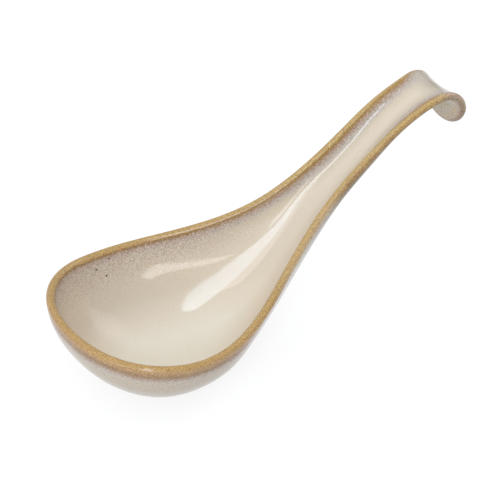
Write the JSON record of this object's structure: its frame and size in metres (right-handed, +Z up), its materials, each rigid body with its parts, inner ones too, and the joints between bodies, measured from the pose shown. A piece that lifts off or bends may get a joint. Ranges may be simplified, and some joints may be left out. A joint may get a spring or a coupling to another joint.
{
  "type": "ceramic soup spoon",
  "caption": "Deep egg-shaped ceramic soup spoon with a flat bare foot, a channelled rising handle and a down-turned hook at its end, glazed inside and out with a tan rim.",
  "frame": {"origin": "point of the flat foot right under the deepest point of the bowl, on the middle plane", "axes": "+X from the bowl towards the hook, +Z up out of the bowl, +Y to the left when looking along +X"},
  "size_m": [0.1644, 0.0728, 0.0714],
  "materials": {
    "stoneware": "bare fired clay, buff, matt",
    "inner_glaze": "glossy warm cream glaze, greyer towards the lip",
    "outer_glaze": "glossy pale grey glaze, mauve just under the lip",
    "rim_glaze": "glossy tan and ochre band where the glaze runs thin over the lip"
  },
  "bodies": {
    "root": {"stoneware_body": "stoneware", "inner_glaze": "inner_glaze", "outer_glaze": "outer_glaze", "rim_glaze": "rim_glaze"}
  },
  "joints": []
}
